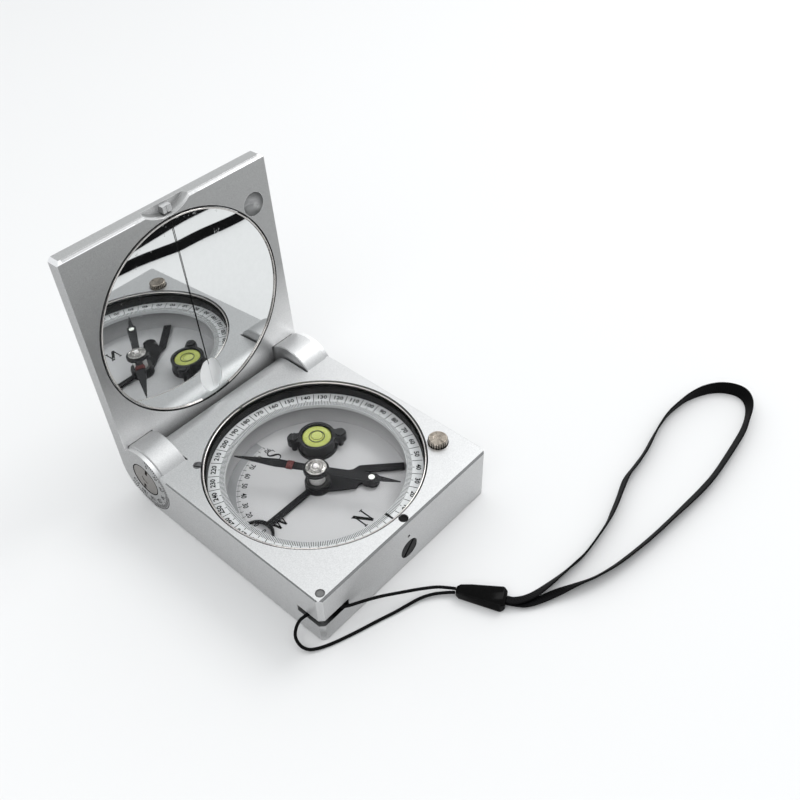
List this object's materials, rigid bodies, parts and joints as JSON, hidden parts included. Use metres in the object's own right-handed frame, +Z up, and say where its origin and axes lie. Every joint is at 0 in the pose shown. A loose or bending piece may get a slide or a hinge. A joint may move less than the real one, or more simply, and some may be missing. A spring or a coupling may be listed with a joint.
{
  "type": "geological compass",
  "caption": "Pocket geological compass with a sighting-mirror lid, round level, clinometer, braked needle and geared azimuth ring.",
  "frame": {"origin": "centre of the needle's pivot projected on the underside of the case", "axes": "+Z up out of the dial, +Y from the dial towards the hinge, +X to the right along the hinge"},
  "size_m": [0.1604, 0.1379, 0.0826],
  "materials": {
    "case": "bead-blasted and clear anodised, satin silver",
    "plate": "pale grey satin with printed marks",
    "ring": "pale satin with printed figures",
    "blackened": "blackened steel",
    "brass": "turned brass",
    "black_plastic": "matt black",
    "black_gloss": "moulded gloss black",
    "gasket": "black rubber",
    "clear_glass": "clear",
    "nickel": "bright nickel plate",
    "steel": "plain turned steel",
    "black_metal": "black satin lacquer on steel",
    "level_fluid": "yellow-green liquid",
    "jewel": "polished jewel",
    "red_wire": "red lacquered wire",
    "white_paint": "white luminous paint",
    "lid": "bead-blasted and clear anodised, satin silver",
    "mirror": "silvered glass",
    "black_cord": "braided black cord",
    "strap": "flat woven black cord"
  },
  "bodies": {
    "case": {"base_case": "case", "dial_plate": "plate", "spacer_ring": "black_plastic", "glass_gasket": "gasket", "cover_glass": "clear_glass", "retaining_ring": "nickel", "index_plug": "black_metal", "ring_lock_screw": "steel", "level_body": "black_metal", "level_vial": "level_fluid", "level_lens": "clear_glass", "level_screws": "blackened", "pivot_post": "steel", "clinometer_bush": "blackened", "knob_bush": "brass", "lever_pin": "steel", "lanyard_pin": "steel", "hinge_pivots": "nickel", "pivot_pins": "steel", "loop_cord_right": "black_cord", "loop_cord_left": "black_cord", "strap_clasp": "black_gloss", "wrist_strap": "strap"},
    "lid": {"lid_plate": "lid", "mirror_glass": "mirror", "mirror_ring": "blackened", "sight_window": "clear_glass", "fore_sight": "lid"},
    "ring": {"azimuth_ring": "ring"},
    "declination_drive": {"declination_screw": "blackened", "declination_pinion": "brass"},
    "clinometer": {"clinometer_arm": "black_metal"},
    "brake": {"brake_knob": "nickel"},
    "lever": {"brake_lever": "steel"},
    "sleeve": {"lift_sleeve": "steel"},
    "compass_needle": {"needle": "black_metal", "needle_cap": "nickel", "needle_jewel": "jewel", "balance_coil": "red_wire", "luminous_dot": "white_paint"}
  },
  "joints": [
    {"name": "lid_hinge", "type": "hinge", "parent": "case", "child": "lid", "pos_m": [0, 0.036, 0.01135], "axis": [-1, 0, 0], "range_deg": [-93.5, 41.5]},
    {"name": "ring_turn", "type": "hinge", "parent": "case", "child": "ring", "pos_m": [0, 0, 0.012], "axis": [0, 0, 1], "continuous": true},
    {"name": "declination_turn", "type": "hinge", "parent": "case", "child": "declination_drive", "pos_m": [0, -0.034, 0.00636], "axis": [0, 1, 0], "continuous": true},
    {"name": "clinometer_swing", "type": "hinge", "parent": "case", "child": "clinometer", "pos_m": [0, 0, 0.0062], "axis": [0, 0, 1], "range_deg": [-95, 20]},
    {"name": "knob_turn", "type": "hinge", "parent": "case", "child": "brake", "pos_m": [0.0275, -0.0228, 0.0179], "axis": [0, 0, 1], "range_deg": [0, 180]},
    {"name": "lever_tilt", "type": "hinge", "parent": "case", "child": "lever", "pos_m": [0.01848, -0.01532, 0.0028], "axis": [0.6383, 0.7698, 0], "range_deg": [0, 2]},
    {"name": "sleeve_lift", "type": "slide", "parent": "case", "child": "sleeve", "axis": [0, 0, 1], "range_m": [0, 0.0008]},
    {"name": "needle_spin", "type": "hinge", "parent": "sleeve", "child": "compass_needle", "pos_m": [0, 0, 0.013], "axis": [0, 0, 1], "continuous": true}
  ],
  "couplings": [
    {"joint": "declination_turn", "follows": "ring_turn", "ratio": 12},
    {"joint": "knob_turn", "follows": "sleeve_lift", "rad_per_m": 3926.9},
    {"joint": "lever_tilt", "follows": "sleeve_lift", "rad_per_m": 41.67}
  ]
}
